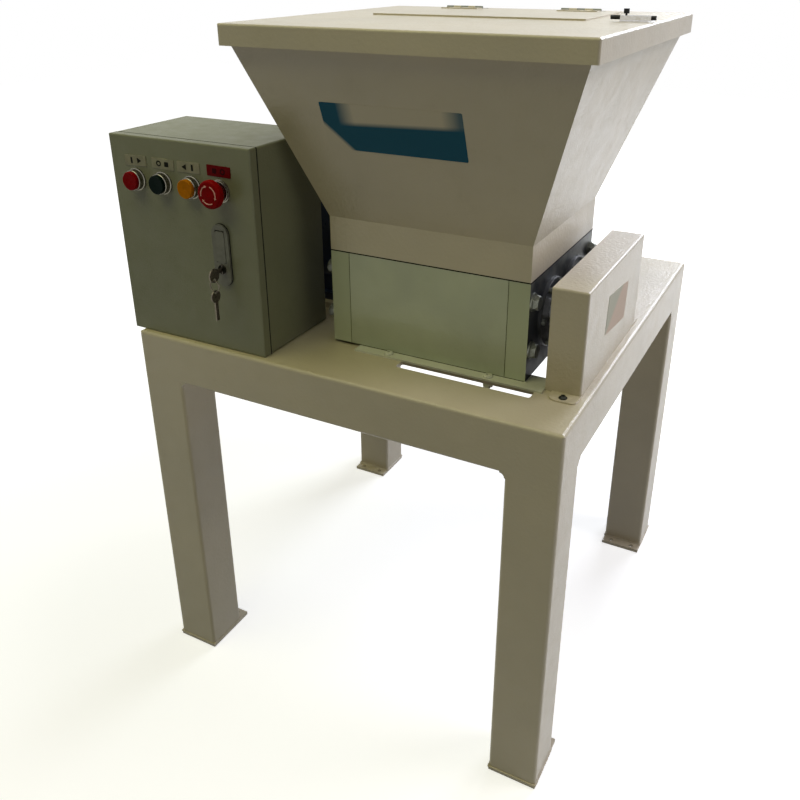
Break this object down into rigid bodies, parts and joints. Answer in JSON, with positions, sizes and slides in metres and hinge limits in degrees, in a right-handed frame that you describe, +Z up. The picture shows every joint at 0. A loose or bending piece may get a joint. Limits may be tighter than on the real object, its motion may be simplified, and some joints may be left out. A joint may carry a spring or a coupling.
{
  "type": "dual-shaft shredder",
  "caption": "Floor-standing dual-shaft shredder: hooked cutter discs in a plate chamber on a tube table, hopper with lid, timing gears under a guard, gearmotor and control box.",
  "frame": {"origin": "on the floor under the middle of the table, the centre of the feet's anchor holes", "axes": "+X to the machine's right, seen from its control box side; +Y to its rear; +Z up"},
  "size_m": [0.701, 0.7403, 1.0808],
  "materials": {
    "ivory_paint": "satin powder coat, warm ivory",
    "grey_paint": "fine texture powder coat, pebble grey",
    "sage_paint": "satin paint, pale sage",
    "dark_plate": "black-blue oiled steel",
    "navy_paint": "gloss machine enamel, navy",
    "tool_steel": "ground tool steel",
    "shaft_steel": "turned and ground",
    "gear_steel": "hobbed and blackened",
    "bearing_steel": "ground ring steel",
    "zinc": "zinc plated",
    "cast_grey": "machined grey iron",
    "chrome_trim": "bright chrome",
    "galvanised": "galvanised sheet",
    "black_rubber": "matt foam rubber",
    "black_plastic": "matt moulded",
    "grey_plastic": "matt moulded",
    "red_plastic": "gloss moulded",
    "green_plastic": "gloss moulded, dark green",
    "amber_plastic": "gloss moulded"
  },
  "bodies": {
    "frame": {"legs": "ivory_paint", "foot_plates": "ivory_paint", "apron_rails": "ivory_paint", "table_top": "ivory_paint", "chamber_end_left": "dark_plate", "chamber_end_right": "dark_plate", "chamber_front_plate": "sage_paint", "chamber_rear_plate": "sage_paint", "chamber_bolts": "zinc", "foot_bars": "sage_paint", "foot_bar_bolts": "zinc", "scraper_fingers": "tool_steel", "bearings": "bearing_steel", "bearing_covers": "cast_grey", "bearing_cover_screws": "zinc", "gear_guard": "ivory_paint", "guard_screws": "zinc", "gearbox_casing": "navy_paint", "gearbox_side_covers": "navy_paint", "gearbox_base": "ivory_paint", "gearbox_bolts": "zinc", "motor_body": "navy_paint", "motor_fan_cover": "navy_paint", "motor_terminal_box": "navy_paint", "hopper_front_panel": "ivory_paint", "hopper_rear_panel": "ivory_paint", "hopper_left_panel": "ivory_paint", "hopper_right_panel": "ivory_paint", "hopper_cover": "ivory_paint", "lid_hinges": "zinc", "latch_base": "chrome_trim", "box_body": "grey_paint", "door_gasket": "black_rubber", "door_hinges": "zinc", "mounting_plate": "galvanised", "switchgear": "grey_plastic", "cable_glands": "black_plastic"},
    "drive_rotor": {"drive_shaft": "shaft_steel", "drive_cutters": "tool_steel", "drive_spacers": "shaft_steel", "drive_timing_gear": "gear_steel"},
    "driven_rotor": {"driven_shaft": "shaft_steel", "driven_cutters": "tool_steel", "driven_spacers": "shaft_steel", "driven_timing_gear": "gear_steel"},
    "fan": {"motor_fan": "black_plastic"},
    "lid": {"feed_lid": "ivory_paint"},
    "latch": {"latch_bolt": "black_plastic"},
    "door": {"box_door": "grey_paint", "button_bezels": "chrome_trim", "contact_blocks": "black_plastic", "lock_plate": "grey_plastic"},
    "start": {"start_button": "red_plastic"},
    "stop": {"stop_button": "green_plastic"},
    "reverse": {"reverse_button": "amber_plastic"},
    "estop": {"emergency_stop": "red_plastic"},
    "handle": {"lock_handle": "grey_plastic"},
    "key": {"lock_key": "chrome_trim"},
    "spare": {"spare_key": "chrome_trim"}
  },
  "joints": [
    {"name": "drive_spin", "type": "hinge", "parent": "frame", "child": "drive_rotor", "pos_m": [0.0995, -0.065, 0.689], "axis": [1, 0, 0], "continuous": true},
    {"name": "driven_spin", "type": "hinge", "parent": "frame", "child": "driven_rotor", "pos_m": [0.0995, -0.165, 0.689], "axis": [1, 0, 0], "continuous": true},
    {"name": "fan_spin", "type": "hinge", "parent": "frame", "child": "fan", "pos_m": [-0.15, 0.15, 0.764], "axis": [0, 1, 0], "continuous": true},
    {"name": "lid_hinge", "type": "hinge", "parent": "frame", "child": "lid", "pos_m": [0.0995, 0.0648, 1.0683], "axis": [-1, 0, 0], "range_deg": [0, 100]},
    {"name": "latch_slide", "type": "slide", "parent": "frame", "child": "latch", "axis": [-1, 0, 0], "range_m": [0, 0.034]},
    {"name": "door_hinge", "type": "hinge", "parent": "frame", "child": "door", "pos_m": [-0.355, -0.34, 0.763], "axis": [0, 0, -1], "range_deg": [0, 115]},
    {"name": "start_press", "type": "slide", "parent": "door", "child": "start", "axis": [0, 1, 0], "range_m": [0, 0.003], "stiffness_N_per_m": 500},
    {"name": "stop_press", "type": "slide", "parent": "door", "child": "stop", "axis": [0, 1, 0], "range_m": [0, 0.003], "stiffness_N_per_m": 500},
    {"name": "reverse_press", "type": "slide", "parent": "door", "child": "reverse", "axis": [0, 1, 0], "range_m": [0, 0.003], "stiffness_N_per_m": 500},
    {"name": "estop_press", "type": "slide", "parent": "door", "child": "estop", "axis": [0, 1, 0], "range_m": [0, 0.004]},
    {"name": "handle_lift", "type": "hinge", "parent": "door", "child": "handle", "pos_m": [-0.168, -0.3504, 0.79199], "axis": [-1, 0, 0], "range_deg": [0, 35]},
    {"name": "key_turn", "type": "hinge", "parent": "door", "child": "key", "pos_m": [-0.168, -0.349, 0.74], "axis": [0, -1, 0], "range_deg": [0, 90]},
    {"name": "spare_swing", "type": "hinge", "parent": "key", "child": "spare", "pos_m": [-0.168, -0.3728, 0.7305], "axis": [1, 0, 0], "range_deg": [-60, 8]}
  ],
  "couplings": [
    {"joint": "driven_spin", "follows": "drive_spin", "ratio": -1},
    {"joint": "fan_spin", "follows": "drive_spin", "ratio": 30}
  ]
}
